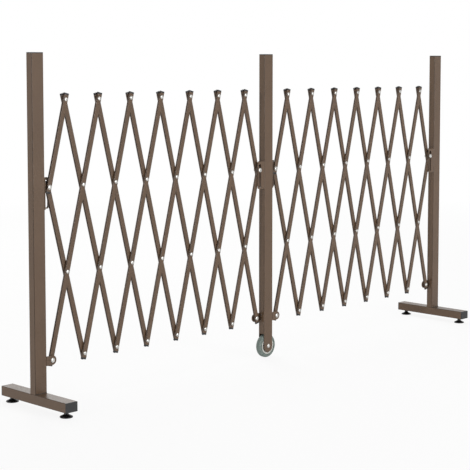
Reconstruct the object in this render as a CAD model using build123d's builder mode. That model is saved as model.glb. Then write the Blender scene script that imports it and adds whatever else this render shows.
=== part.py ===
# A free-standing scissor gate: two folding lattices between three posts. The end posts stand on
# cross tubes with levelling feet, the middle post rolls on a wheel. Millimetres, +Z up, X along the
# gate, front is -Y. The origin is on the floor under the middle post.
from build123d import *
from math import asin, cos, degrees, sin
import os

# Whole gate
gate_height = 1035.0
post_spacing = 972.0
panel_pitches = 7

# Posts and base tubes
post_width = 42.0
post_depth = 25.0
tube_wall = 1.5
tube_corner = 1.7
base_length = 305.0
base_height = 29.0
plug_flange = 3.0
plug_depth = 11.0
plug_wall = 2.0
plug_edge = 1.0
plug_fit = 0.1

# Levelling feet
foot_height = 18.0
foot_inset = 25.5
foot_radius = 19.0
foot_rim = 3.0
foot_neck_radius = 6.5
foot_neck_height = 9.0
stud_radius = 4.0
stud_hole_play = 1.0
foot_travel = 10.0
insert_size = 20.0
insert_height = 10.0
thread_clearance = 0.08
thread_chamfer = 1.0
foot_seat_gap = 0.3

# Lattice
pivot_span = 261.0
bar_width = 18.0
bar_depth = 6.5
bar_wall = 1.2
bar_corner = 0.9
bar_tip = 18.5
bar_plug_flange = 4.0
bar_plug_depth = 8.0
bar_plug_edge = 0.8
layer_gap = 0.4
bottom_pivot_height = 139.5
end_pivot_gap = 21.8

# Pivot rivets and end bolts
pin_radius = 3.0
pin_clearance = 0.05
side_play = 0.15
head_radius = 6.0
head_flat_radius = 4.0
head_height = 3.0
bolt_head_radius = 7.5
bolt_head_flat_radius = 5.0
bolt_head_height = 3.5
tail_radius = 5.0
tail_height = 2.2
nut_flats = 10.0
nut_height = 5.0
bolt_end = 1.5

# Brackets on the posts
plate_thickness = 2.5
bend_radius = 1.5
slot_width = 11.0
slot_rim = 3.5
slot_top_rim = 7.5
slot_up = 15.4
slot_down = 54.6
slot_plate_corner = 5.0
pivot_plate_radius = 14.0
bush_clearance = 0.1
bush_flange_radius = 9.5
bracket_rivet_radius = 2.4
bracket_rivet_head_radius = 4.7
bracket_rivet_head_height = 1.5
bracket_rivet_bulb_radius = 3.3
bracket_rivet_bulb_height = 3.0
slot_rivet_inset = 16.0
pivot_rivet_spread = 15.0

# Wheel in the middle post's fork
wheel_radius = 40.0
wheel_width = 20.0
tyre_depth = 12.0
tyre_shoulder = 5.0
tyre_bead = 4.0
rim_lip = 4.5
rim_web = 7.0
hub_radius = 12.0
hub_side_play = 0.3
axle_radius = 4.0
fork_radius = 21.0
fork_top_gap = 3.0
axle_head_radius = 7.0
axle_head_flat_radius = 4.5
axle_head_height = 4.0
axle_nut_flats = 13.0
axle_nut_height = 6.5

# Cuts run past the walls that they open by this much
overrun = 1.0

# Heights and lengths that follow
base_top = foot_height + base_height
foot_y = base_length / 2 - foot_inset
insert_top = foot_height + tube_wall + insert_height
post_top = gate_height - plug_flange
pivot_pitch = (post_spacing - post_width - 2 * end_pivot_gap) / panel_pitches
lean = asin(pivot_pitch / 2 / pivot_span)
row_step = pivot_span * cos(lean)
bar_outer_y = layer_gap / 2 + bar_depth
plate_outer_y = post_depth / 2
plate_inner_y = plate_outer_y - plate_thickness
slot_row_height = bottom_pivot_height + 2 * row_step
fork_top = 2 * wheel_radius + fork_top_gap

# A slotted plate's reach above and below the bolt's place at rest, and the rivets' heights
slot_plate_up = slot_up + slot_width / 2 + slot_top_rim
slot_plate_down = slot_down + slot_width / 2 + slot_rim
slot_rivet_heights = [
    slot_row_height + slot_plate_up - slot_rivet_inset,
    slot_row_height - slot_plate_down + slot_rivet_inset,
]
pivot_rivet_heights = [
    bottom_pivot_height - pivot_rivet_spread / 2,
    bottom_pivot_height + pivot_rivet_spread / 2,
]

# Each post's place and the sides that carry brackets
posts = [("left", -post_spacing, [1]), ("middle", 0.0, [-1, 1]), ("right", post_spacing, [-1])]

# A bracket's place: the post it is on, and the side of that post that it stands out from
bracket_places = {
    "left": (-post_spacing, 1),
    "middle_left": (0.0, -1),
    "middle_right": (0.0, 1),
    "right": (post_spacing, -1),
}

os.makedirs("parts", exist_ok=True)


def write(piece, name):
    """Labels a finished piece and writes it to its own file."""
    piece.label = name
    export_step(piece, f"parts/{name}.step")


def write_group(solids, name):
    """Writes separate solids that share one file."""
    write(Compound(label=name, children=solids), name)


# Posts: rectangular tubes, with a hole in the wall for each bracket rivet
def post_tube(x, bottom, sides, fork):
    with BuildPart() as post:
        with BuildSketch(Plane.XY.offset(bottom)):
            with Locations((x, 0)):
                RectangleRounded(post_width, post_depth, tube_corner)
                RectangleRounded(
                    post_width - 2 * tube_wall,
                    post_depth - 2 * tube_wall,
                    tube_corner - tube_wall,
                    mode=Mode.SUBTRACT,
                )
        extrude(amount=post_top - bottom)
        for side in sides:
            face_x = x + side * post_width / 2
            for z in slot_rivet_heights + pivot_rivet_heights:
                with Locations(Plane((face_x, 0, z), x_dir=(0, side, 0), z_dir=(side, 0, 0))):
                    Hole(bracket_rivet_radius + pin_clearance, depth=2 * tube_wall)
        if fork:
            # the side walls stop above the wheel, the front and rear walls run on as fork blades
            with BuildSketch(Plane.XZ):
                with Locations((x, fork_top / 2)):
                    Rectangle(post_width + 2 * overrun, fork_top)
            extrude(amount=post_depth / 2 - tube_wall, both=True, mode=Mode.SUBTRACT)
            with BuildSketch(Plane.XZ):
                with Locations((x, wheel_radius / 2)):
                    Rectangle(post_width + 2 * overrun, wheel_radius)
                with Locations((x, wheel_radius)):
                    Circle(fork_radius, mode=Mode.SUBTRACT)
                    Circle(axle_radius + pin_clearance)
            extrude(amount=post_depth, both=True, mode=Mode.SUBTRACT)
    return post.part


for post, x, sides in posts:
    fork = post == "middle"
    bottom = wheel_radius - fork_radius if fork else base_top
    write(post_tube(x, bottom, sides, fork), f"{post}_post")


# Base tubes: the same kind of tube laid across the gate, with a stud hole over each foot
def base_tube(x):
    tube_length = base_length - 2 * plug_flange
    with BuildPart() as base:
        with BuildSketch(Plane.XZ.offset(-tube_length / 2)):
            with Locations((x, foot_height + base_height / 2)):
                RectangleRounded(post_width, base_height, tube_corner)
                RectangleRounded(
                    post_width - 2 * tube_wall,
                    base_height - 2 * tube_wall,
                    tube_corner - tube_wall,
                    mode=Mode.SUBTRACT,
                )
        extrude(amount=tube_length)
        with BuildSketch(Plane.XY.offset(foot_height - overrun)):
            with Locations((x, 0)):
                with GridLocations(0, 2 * foot_y, 1, 2):
                    Circle(stud_radius + stud_hole_play)
        extrude(amount=tube_wall + 2 * overrun, mode=Mode.SUBTRACT)
    return base.part


write(base_tube(-post_spacing), "left_base_tube")
write(base_tube(post_spacing), "right_base_tube")


# Plugs that close the tubes: a flange with softened edges and a hollow spigot inside the tube
def tube_plug(mouth, width, depth):
    spigot_width = width - 2 * tube_wall - 2 * plug_fit
    spigot_depth = depth - 2 * tube_wall - 2 * plug_fit
    with BuildPart() as plug:
        with BuildSketch(mouth):
            RectangleRounded(width, depth, tube_corner)
        extrude(amount=plug_flange)
        fillet(faces().sort_by(Axis(mouth.origin, mouth.z_dir))[-1].edges(), plug_edge)
        with BuildSketch(mouth):
            RectangleRounded(spigot_width, spigot_depth, tube_corner - tube_wall)
            Rectangle(
                spigot_width - 2 * plug_wall, spigot_depth - 2 * plug_wall, mode=Mode.SUBTRACT
            )
        extrude(amount=-plug_depth)
    return plug.part


def post_plug(x):
    return tube_plug(Plane((x, 0, post_top)), post_width, post_depth)


def base_plug(x, end):
    mouth = Plane(
        (x, end * (base_length / 2 - plug_flange), foot_height + base_height / 2),
        x_dir=(1, 0, 0),
        z_dir=(0, end, 0),
    )
    return tube_plug(mouth, post_width, base_height)


for stand, x in (("left", -post_spacing), ("right", post_spacing)):
    write_group([post_plug(x), base_plug(x, -1), base_plug(x, 1)], f"{stand}_stand_plugs")
write(post_plug(0.0), "middle_post_plug")


# Levelling feet: a round pad with a conical neck, and a threaded stud up into the base tube
def levelling_foot(x, y):
    stud_bottom = foot_rim
    with BuildPart() as pad:
        with BuildSketch(Plane.XZ.offset(-y)):
            with BuildLine():
                Polyline(
                    (x, 0),
                    (x + foot_radius, 0),
                    (x + foot_radius, foot_rim),
                    (x + foot_neck_radius, foot_neck_height),
                    (x + foot_neck_radius, foot_height - foot_seat_gap),
                    (x + stud_radius, foot_height - foot_seat_gap),
                    (x + stud_radius, stud_bottom),
                    (x, stud_bottom),
                    close=True,
                )
            make_face()
        revolve(axis=Axis((x, y, 0), (0, 0, 1)))
    with BuildPart() as stud:
        with BuildSketch(Plane.XY.offset(stud_bottom)):
            with Locations((x, y)):
                Circle(stud_radius)
        extrude(amount=insert_top + foot_travel - stud_bottom)
        chamfer(edges().group_by(Axis.Z)[-1], thread_chamfer)
    return [pad.part, stud.part]


def foot_nut(x, y):
    with BuildPart() as nut:
        with BuildSketch(Plane.XY.offset(foot_height + tube_wall)):
            with Locations((x, y)):
                Rectangle(insert_size, insert_size)
                Circle(stud_radius + thread_clearance, mode=Mode.SUBTRACT)
        extrude(amount=insert_height)
        chamfer(edges().group_by(Axis.Z)[-1].filter_by(GeomType.LINE), thread_chamfer)
    return nut.part


for stand, x in (("left", -post_spacing), ("right", post_spacing)):
    for place, y in (("front", -foot_y), ("rear", foot_y)):
        write_group(levelling_foot(x, y), f"{stand}_{place}_foot")
    nuts = [foot_nut(x, y) for y in (-foot_y, foot_y)]
    write_group(nuts, f"{stand}_foot_nuts")


# Brackets: a flange on the post's side, and a plate that stands out flush with the post's front or
# rear face. The slotted one guides the lattice's end bolt, the round-ended one carries its pivot.
def bracket(place, height, plate_y_side, slotted):
    post_x, side = bracket_places[place]
    face_x = post_x + side * post_width / 2
    plate_side = plate_y_side * side
    top = slot_plate_up if slotted else pivot_plate_radius
    bottom = -slot_plate_down if slotted else -pivot_plate_radius
    plate = Plane(
        (face_x, plate_side * plate_outer_y, height), x_dir=(side, 0, 0), z_dir=(0, -side, 0)
    )
    flange = Plane((face_x, 0, height), x_dir=(0, side, 0), z_dir=(side, 0, 0))
    with BuildPart() as angle:
        with BuildSketch(plate) as outline:
            if slotted:
                with Locations((0, bottom)):
                    Rectangle(
                        end_pivot_gap + slot_width / 2 + slot_rim,
                        top - bottom,
                        align=(Align.MIN, Align.MIN),
                    )
                far_corners = outline.vertices().sort_by_distance((face_x, 0, height))[2:]
                fillet(far_corners, slot_plate_corner)
                with Locations((end_pivot_gap, (slot_up - slot_down) / 2)):
                    SlotCenterToCenter(
                        slot_up + slot_down, slot_width, rotation=90, mode=Mode.SUBTRACT
                    )
            else:
                Rectangle(end_pivot_gap, top - bottom, align=(Align.MIN, Align.CENTER))
                with Locations((end_pivot_gap, 0)):
                    Circle(pivot_plate_radius)
                    Circle(pin_radius + pin_clearance, mode=Mode.SUBTRACT)
        extrude(amount=plate_y_side * plate_thickness)
        with BuildSketch(flange):
            with Locations((0, bottom)):
                Rectangle(post_depth, top - bottom, align=(Align.CENTER, Align.MIN))
        extrude(amount=plate_thickness)
        inside_bend = (face_x + side * plate_thickness, plate_side * plate_inner_y, height)
        fillet(edges().filter_by(Axis.Z).sort_by_distance(inside_bend)[0], bend_radius)
        for z in slot_rivet_heights if slotted else pivot_rivet_heights:
            with Locations(flange * Pos(0, z - height, plate_thickness)):
                Hole(bracket_rivet_radius + pin_clearance, depth=2 * plate_thickness)
    return angle.part


for place in bracket_places:
    write(bracket(place, slot_row_height, 1, True), f"{place}_slotted_bracket")
    write(bracket(place, bottom_pivot_height, -1, False), f"{place}_pivot_bracket")


# Rivets that hold the brackets: a low head outside, a bulb behind the post's wall
def bracket_rivet(post_x, side, z):
    face_x = post_x + side * post_width / 2
    head_face = plate_thickness
    bulb_face = -tube_wall
    with BuildPart() as rivet:
        with BuildSketch(Plane((face_x, 0, z), x_dir=(side, 0, 0), z_dir=(0, 1, 0))):
            with BuildLine():
                Polyline(
                    (head_face + bracket_rivet_head_height, 0),
                    (head_face + bracket_rivet_head_height, bracket_rivet_radius),
                    (head_face, bracket_rivet_head_radius),
                    (head_face, bracket_rivet_radius),
                    (bulb_face, bracket_rivet_radius),
                    (bulb_face, bracket_rivet_bulb_radius),
                    (bulb_face - bracket_rivet_bulb_height, bracket_rivet_radius),
                    (bulb_face - bracket_rivet_bulb_height, 0),
                    close=True,
                )
            make_face()
        revolve(axis=Axis((face_x, 0, z), (1, 0, 0)))
    return rivet.part


for post, x, sides in posts:
    rivets = [
        bracket_rivet(x, side, z)
        for side in sides
        for z in slot_rivet_heights + pivot_rivet_heights
    ]
    write_group(rivets, f"{post}_bracket_rivets")


# Wheel: a tyre on a rim with a web and a hub, on a bolt through the fork's blades
axle_line = Axis((0, 0, wheel_radius), (0, 1, 0))
rim_radius = wheel_radius - tyre_depth

with BuildPart() as tyre:
    with BuildSketch(Plane.XY.offset(wheel_radius)) as tread:
        with Locations((rim_radius, 0)):
            Rectangle(tyre_depth, wheel_width, align=(Align.MIN, Align.CENTER))
        fillet(tread.vertices().group_by(Axis.X)[-1], tyre_shoulder)
        with Locations((rim_radius, 0)):
            Rectangle(tyre_bead, wheel_width / 2, mode=Mode.SUBTRACT)
    revolve(axis=axle_line)
write(tyre.part, "wheel_tyre")

hub_length = post_depth - 2 * tube_wall - 2 * hub_side_play
with BuildPart() as hub:
    with BuildSketch(Plane.XY.offset(wheel_radius)):
        bore = axle_radius + pin_clearance
        with Locations((bore, 0)):
            Rectangle(hub_radius - bore, hub_length, align=(Align.MIN, Align.CENTER))
            Rectangle(rim_radius - bore, rim_web, align=(Align.MIN, Align.CENTER))
        with Locations((rim_radius, 0)):
            Rectangle(rim_lip, wheel_width, align=(Align.MAX, Align.CENTER))
            Rectangle(tyre_bead / 2, wheel_width / 2, align=(Align.MIN, Align.CENTER))
    revolve(axis=axle_line)
write(hub.part, "wheel_hub")

with BuildPart() as axle:
    blade = post_depth / 2
    with BuildSketch(Plane.XY.offset(wheel_radius)):
        with BuildLine():
            Polyline(
                (0, -blade - axle_head_height),
                (axle_head_flat_radius, -blade - axle_head_height),
                (axle_head_radius, -blade),
                (axle_radius, -blade),
                (axle_radius, blade + axle_nut_height + bolt_end),
                (0, blade + axle_nut_height + bolt_end),
                close=True,
            )
        make_face()
    revolve(axis=axle_line)
with BuildPart() as axle_nut:
    with BuildSketch(Plane((0, blade, wheel_radius), x_dir=(1, 0, 0), z_dir=(0, 1, 0))):
        RegularPolygon(axle_nut_flats / 2, 6, major_radius=False)
        Circle(axle_radius + pin_clearance, mode=Mode.SUBTRACT)
    extrude(amount=axle_nut_height)
write_group([axle.part, axle_nut.part], "wheel_axle")


# Pivot rivets and end bolts: pins along Y with a coned head in front
rivet_head = (head_radius, head_flat_radius, head_height)
bolt_head = (bolt_head_radius, bolt_head_flat_radius, bolt_head_height)


def pin(x, z, head_face, head, rear):
    """A pin with its head on head_face. Its rear end has the given outline points."""
    full_radius, flat_radius, height = head
    with BuildPart() as body:
        with BuildSketch(Plane.XY.offset(z)):
            with BuildLine():
                Polyline(
                    (x, head_face - height),
                    (x + flat_radius, head_face - height),
                    (x + full_radius, head_face),
                    (x + pin_radius, head_face),
                    *rear,
                    close=True,
                )
            make_face()
        revolve(axis=Axis((x, 0, z), (0, 1, 0)))
    return body.part


def rivet(x, z):
    tail_face = bar_outer_y + side_play
    tail = [
        (x + pin_radius, tail_face),
        (x + tail_radius, tail_face),
        (x + tail_radius, tail_face + tail_height),
        (x, tail_face + tail_height),
    ]
    return pin(x, z, -tail_face, rivet_head, tail)


def end_bolt(x, z, front_y, rear_y):
    """A bolt and its nut, which hold what lies between front_y and rear_y with some play."""
    nut_face = rear_y + side_play
    end = nut_face + nut_height + bolt_end
    bolt = pin(x, z, front_y - side_play, bolt_head, [(x + pin_radius, end), (x, end)])
    with BuildPart() as nut:
        with BuildSketch(Plane((x, nut_face, z), x_dir=(1, 0, 0), z_dir=(0, 1, 0))):
            RegularPolygon(nut_flats / 2, 6, major_radius=False)
            Circle(pin_radius + pin_clearance, mode=Mode.SUBTRACT)
        extrude(amount=nut_height)
    return [bolt, nut.part]


def bush(x, z, face, sleeved):
    """The washer between a bar and a bracket's plate, with a sleeve that runs in a slot."""
    inner = pin_radius + pin_clearance
    near = bar_outer_y + side_play
    far = plate_inner_y - side_play
    with BuildPart() as ring:
        with BuildSketch(Plane.XY.offset(z)):
            with BuildLine():
                sleeve = [(x + bush_flange_radius, face * far)]
                if sleeved:
                    sleeve += [
                        (x + slot_width / 2 - bush_clearance, face * far),
                        (x + slot_width / 2 - bush_clearance, face * plate_outer_y),
                        (x + inner, face * plate_outer_y),
                    ]
                else:
                    sleeve += [(x + inner, face * far)]
                Polyline(
                    (x + inner, face * near),
                    (x + bush_flange_radius, face * near),
                    *sleeve,
                    close=True,
                )
            make_face()
        revolve(axis=Axis((x, 0, z), (0, 1, 0)))
    return ring.part


# Lattice bars: rectangular tubes with a plug in each end, drilled through at their pivots
def bar_pieces(low_x, low_z, slope, layer, pivots):
    """A bar's tube and two plugs. It starts at its lowest pivot and leans by slope (+1 or -1)."""
    along = Vector(slope * sin(lean), 0, cos(lean))
    centre_y = layer * (layer_gap + bar_depth) / 2
    low = Vector(low_x, centre_y, low_z)
    length = (pivots - 1) * pivot_span
    tube_tip = bar_tip - bar_plug_flange
    inner_width = bar_width - 2 * bar_wall
    inner_depth = bar_depth - 2 * bar_wall
    bottom_end = Plane(low - along * tube_tip, x_dir=(0, 1, 0), z_dir=along)
    top_end = Plane(low + along * (length + tube_tip), x_dir=(0, 1, 0), z_dir=along)
    with BuildPart() as tube:
        with BuildSketch(bottom_end):
            RectangleRounded(bar_depth, bar_width, bar_corner)
            Rectangle(inner_depth, inner_width, mode=Mode.SUBTRACT)
        extrude(amount=length + 2 * tube_tip)
        with BuildSketch(Plane(low, x_dir=along, z_dir=(0, 1, 0))):
            with Locations((length / 2, 0)):
                with GridLocations(pivot_span, 0, pivots, 1):
                    Circle(pin_radius + pin_clearance)
        extrude(amount=bar_depth, both=True, mode=Mode.SUBTRACT)
    pieces = [tube.part]
    for mouth, out in ((bottom_end, -1), (top_end, 1)):
        with BuildPart() as plug:
            with BuildSketch(mouth):
                RectangleRounded(bar_depth, bar_width, bar_corner)
            extrude(amount=out * bar_plug_flange)
            bar_middle = low + along * length / 2
            chamfer(edges().filter_by(Axis.Y).sort_by_distance(bar_middle)[2:], bar_plug_edge)
            with BuildSketch(mouth):
                Rectangle(inner_depth - 2 * plug_fit, inner_width - 2 * plug_fit)
            extrude(amount=-out * bar_plug_depth)
        pieces.append(plug.part)
    return pieces


# The rows are numbered upwards, the pivots along the gate in pitches from the panel's left post.
# A full bar climbs three rows. The first and last bars of each layer are cut short at the posts.
front_bars = [(0.0, 2, 2)] + [(float(i), 0, 4) for i in range(panel_pitches - 1)]
front_bars += [(float(panel_pitches - 1), 0, 3)]
rear_bars = [(1.0, 0, 3)] + [(float(i + 2), 0, 4) for i in range(panel_pitches - 1)]
rear_bars += [(float(panel_pitches), 2, 2)]


def panel(name, left_post_x):
    first_x = left_post_x + post_width / 2 + end_pivot_gap

    def place(step, row):
        return first_x + step * pivot_pitch, bottom_pivot_height + row * row_step

    for number, (step, row, pivots) in enumerate(front_bars, 1):
        low_x, low_z = place(step, row)
        pieces = bar_pieces(low_x, low_z, 1, -1, pivots)
        for i in range(pivots):
            pivot_step, pivot_row = step + i / 2, row + i
            x, z = place(pivot_step, pivot_row)
            if pivot_step == 0 and pivot_row == 0:
                # through the plate and this bar, the nut lies between the layers' open ends
                pieces += end_bolt(x, z, -plate_outer_y, -layer_gap / 2)
                pieces.append(bush(x, z, -1, False))
            elif pivot_step == 0:
                pieces += end_bolt(x, z, -bar_outer_y, plate_outer_y)
                pieces.append(bush(x, z, 1, True))
            elif pivot_step == panel_pitches:
                pieces += end_bolt(x, z, -plate_outer_y, bar_outer_y)
                pieces.append(bush(x, z, -1, True))
            else:
                pieces.append(rivet(x, z))
        write_group(pieces, f"{name}_front_bar_{number}")

    for number, (step, row, pivots) in enumerate(rear_bars, 1):
        low_x, low_z = place(step, row)
        pieces = bar_pieces(low_x, low_z, -1, 1, pivots)
        if step == panel_pitches and row == 0:
            pieces += end_bolt(low_x, low_z, layer_gap / 2, plate_outer_y)
            pieces.append(bush(low_x, low_z, 1, False))
        write_group(pieces, f"{name}_rear_bar_{number}")


panel("left", -post_spacing)
panel("right", 0.0)

print("pivot pitch", round(pivot_pitch, 3), "lean", round(degrees(lean), 3))
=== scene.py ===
"""A free-standing scissor gate: two folding lattices of brown coated bars between three posts.

The end posts stand on cross tubes with levelling feet, the middle post rolls on a wheel. The
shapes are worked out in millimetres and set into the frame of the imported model, in metres.
"""

import logging
import math
from dataclasses import dataclass, field
from enum import Enum
from typing import Iterable, Sequence

import bmesh
import bpy
from mathutils import Color, Matrix, Vector


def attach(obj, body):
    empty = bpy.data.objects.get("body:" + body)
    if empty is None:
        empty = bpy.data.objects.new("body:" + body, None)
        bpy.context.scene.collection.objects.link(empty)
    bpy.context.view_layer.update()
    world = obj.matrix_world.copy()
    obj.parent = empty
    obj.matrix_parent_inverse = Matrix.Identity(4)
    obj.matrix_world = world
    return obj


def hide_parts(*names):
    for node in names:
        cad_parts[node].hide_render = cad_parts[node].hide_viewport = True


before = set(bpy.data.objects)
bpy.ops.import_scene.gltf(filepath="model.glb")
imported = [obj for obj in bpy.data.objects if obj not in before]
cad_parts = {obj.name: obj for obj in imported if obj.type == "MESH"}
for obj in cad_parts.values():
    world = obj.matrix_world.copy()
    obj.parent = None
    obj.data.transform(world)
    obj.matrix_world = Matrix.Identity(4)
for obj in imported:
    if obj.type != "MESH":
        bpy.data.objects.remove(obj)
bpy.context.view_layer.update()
log = logging.getLogger("scissor_gate")

# A corner of a turned outline: radius, height and, if it is rounded, the rounding
Corner = tuple[float, ...]
Colour = tuple[float, float, float]
Way = tuple[float, float, float]
Span = tuple[float, float]
Socket = bpy.types.NodeSocket
Face = bmesh.types.BMFace

MM = 0.001
WHITE = (1.0, 1.0, 1.0)
UNSTRETCHED = (1.0, 1.0, 1.0)
NOISE_MEAN = 0.5
TOP_LEVEL = 255

# Sizes in millimetres that several pieces share
POST_WIDTH = 42.0
POST_DEPTH = 25.0
POST_SPACING = 972.0
PIVOT_SPAN = 261.0
BAR_DEPTH = 6.5

# Roundings past the large one get more facets, and all of them are arcs of a circle
LARGE_ROUNDING = 1.0
MANY_FACETS = 4
FEW_FACETS = 2
ARC = 0.5

# Corners closer than this are one
SEAM = 0.002

# How far large faces outweigh small ones in the shading, in percent
FLATS_WEIGHT = 100


class Facing(Enum):
    """The way in which a turned piece's own height points: a turn in degrees and its axis."""

    UP = (0.0, "X")
    FRONT = (90.0, "X")
    REAR = (-90.0, "X")
    RIGHT = (90.0, "Y")
    LEFT = (-90.0, "Y")

    def turn(self) -> Matrix:
        """The rotation from standing upright to this direction."""
        angle, axis = self.value
        return Matrix.Rotation(math.radians(angle), 4, axis)


class Layer(Enum):
    """The two layers of bars in a lattice, and the side of the gate that each is on."""

    FRONT = -1
    REAR = 1


class Stuff(Enum):
    """What a piece is finished in: the record's material slots."""

    BROWN = "brown_coat"
    BLACK = "black_plastic"
    BLACK_STEEL = "black_steel"
    ZINC = "zinc"
    TYRE = "tyre"
    RIM = "rim"


def placed(name: str, data: bpy.types.ID) -> bpy.types.Object:
    """Adds an object to the scene."""
    thing = bpy.data.objects.new(name, data)
    bpy.context.scene.collection.objects.link(thing)
    return thing


# Shader maths and finishes


class Amount:
    """A number that varies over the surface. Expressions on it add Math nodes."""

    def __init__(self, graph: "Graph", socket: Socket) -> None:
        self.graph = graph
        self.socket = socket

    def math(self, operation: str, *values: "Amount | float") -> "Amount":
        """Adds a Math node.

        Args:
            operation: the Math node's operation.
            values: its inputs, in order.

        Returns:
            The node's result.
        """
        node = self.graph.node(
            "ShaderNodeMath", {"operation": operation}, dict(enumerate(values))
        )
        return Amount(self.graph, node.outputs[0])

    def __add__(self, other: "Amount | float") -> "Amount":
        """self + other."""
        return self.math("ADD", self, other)

    __radd__ = __add__

    def __sub__(self, other: "Amount | float") -> "Amount":
        """self - other."""
        return self.math("SUBTRACT", self, other)

    def __rsub__(self, other: "Amount | float") -> "Amount":
        """other - self."""
        return self.math("SUBTRACT", other, self)

    def __mul__(self, other: "Amount | float") -> "Amount":
        """self * other."""
        return self.math("MULTIPLY", self, other)

    __rmul__ = __mul__

    def higher(self, other: "Amount | float") -> "Amount":
        """The larger of the two."""
        return self.math("MAXIMUM", self, other)

    def clamped(self) -> "Amount":
        """The number held between nothing and one."""
        return self.math("MINIMUM", self.higher(0.0), 1.0)


@dataclass(frozen=True)
class Cloud:
    """A cloudy noise: clouds to the metre, finer layers, their strength and a stretch."""

    scale: float
    detail: float = 2.0
    rough: float = 0.5
    stretch: Way = UNSTRETCHED


class Graph:
    """The nodes of one material or world."""

    def __init__(self, tree: bpy.types.NodeTree) -> None:
        self.tree = tree
        tree.nodes.clear()

    def node(
        self, kind: str, settings: dict | None = None, inputs: dict | None = None
    ) -> bpy.types.Node:
        """Adds a node.

        Args:
            kind: the node's type.
            settings: attributes, which are set first.
            inputs: values or links by socket name or number.

        Returns:
            The new node.
        """
        node = self.tree.nodes.new(kind)
        for name, value in (settings or {}).items():
            setattr(node, name, value)
        for name, value in (inputs or {}).items():
            if isinstance(value, Amount):
                value = value.socket
            if isinstance(value, Socket):
                self.tree.links.new(value, node.inputs[name])
            else:
                node.inputs[name].default_value = value
        return node

    def vector(self, operation: str, *values: Socket | Way) -> Amount:
        """The number that a Vector Math node works out."""
        node = self.node("ShaderNodeVectorMath", {"operation": operation}, dict(enumerate(values)))
        return Amount(self, node.outputs["Value"])

    def place(self, stretch: Way = UNSTRETCHED) -> Socket:
        """The object's own coordinates, stretched along its axes."""
        spot = self.node("ShaderNodeTexCoord").outputs["Object"]
        mapping = self.node("ShaderNodeMapping", {}, {"Vector": spot, "Scale": stretch})
        return mapping.outputs["Vector"]

    def noise(self, cloud: Cloud) -> Amount:
        """A cloudy noise on the object, about 0.5 on average."""
        inputs = {"Scale": cloud.scale, "Detail": cloud.detail, "Roughness": cloud.rough}
        inputs["Vector"] = self.place(cloud.stretch)
        node = self.node("ShaderNodeTexNoise", {"noise_dimensions": "3D"}, inputs)
        return Amount(self, node.outputs["Fac"])

    def edges(self) -> Amount:
        """One on a rounding halfway between two upright or level faces, nothing on the faces: the
        mask of the coat's painted edge shade.
        """
        normal = self.node("ShaderNodeTexCoord").outputs["Normal"]
        parts = self.node("ShaderNodeSeparateXYZ", {}, {0: normal}).outputs
        x, y, z = (Amount(self, part) * Amount(self, part) for part in parts)
        return (4 * (x * y + y * z + z * x)).clamped()

    def rays(self) -> tuple[Amount, Amount]:
        """Whether a gloss looks, and whether the camera, a gloss or something clear looks."""
        path = self.node("ShaderNodeLightPath").outputs
        gloss = Amount(self, path["Is Glossy Ray"])
        seen = Amount(self, path["Is Camera Ray"]).higher(gloss)
        return gloss, seen.higher(Amount(self, path["Is Transmission Ray"]))

    def spread(self, value: Amount, span: Span) -> Amount:
        """Opens a span of the value out to the range from nothing to one."""
        low, high = span
        node = self.node(
            "ShaderNodeMapRange",
            {"clamp": True},
            {"Value": value, "From Min": low, "From Max": high},
        )
        return Amount(self, node.outputs["Result"])

    def blend(self, share: Amount, first: Colour | Socket, second: Colour | Socket) -> Socket:
        """Blends two colours.

        Args:
            share: how much of the second colour shows.
            first: the colour where share is nothing.
            second: the colour where share is one.

        Returns:
            The blended colour.
        """
        first, second = (
            value if isinstance(value, Socket) else (*value, 1.0) for value in (first, second)
        )
        node = self.node(
            "ShaderNodeMix", {"data_type": "RGBA"}, {0: share, 6: first, 7: second}
        )
        return node.outputs[2]

    def bump(
        self, height: Amount, depth_mm: float, strength: float, under: Socket | None = None
    ) -> Socket:
        """Turns a height into a normal.

        Args:
            height: the relief, from nothing to one.
            depth_mm: how deep that relief is.
            strength: how much of it shows.
            under: a normal that this relief lies on.

        Returns:
            The normal.
        """
        inputs = {"Height": height, "Distance": depth_mm * MM, "Strength": strength}
        if under is not None:
            inputs["Normal"] = under
        return self.node("ShaderNodeBump", {}, inputs).outputs["Normal"]


def written(red: int, green: int, blue: int) -> Colour:
    """A colour as it is read off a screen, made linear for the shader."""
    shown = Color([level / TOP_LEVEL for level in (red, green, blue)])
    return tuple(shown.from_srgb_to_scene_linear())


def toned(colour: Colour, share: float) -> Colour:
    """The colour at this share of its light."""
    red, green, blue = colour
    return red * share, green * share, blue * share


@dataclass(frozen=True)
class Finish:
    """A surface finish: how one kind of stuff is made into a material."""

    name: str
    colour: Colour

    def material(self) -> bpy.types.Material:
        """Makes the material and fills its nodes."""
        material = bpy.data.materials.new(self.name)
        material.use_nodes = True
        graph = Graph(material.node_tree)
        surface = self.surface(graph)
        graph.node("ShaderNodeOutputMaterial", {}, {"Surface": surface})
        return material

    def surface(self, graph: Graph) -> Socket:
        """The shader of the finish, which each kind gives."""
        raise NotImplementedError

    def shader(self, graph: Graph, inputs: dict) -> Socket:
        """Adds the surface shader with these inputs."""
        return graph.node("ShaderNodeBsdfPrincipled", {}, inputs).outputs["BSDF"]


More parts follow.
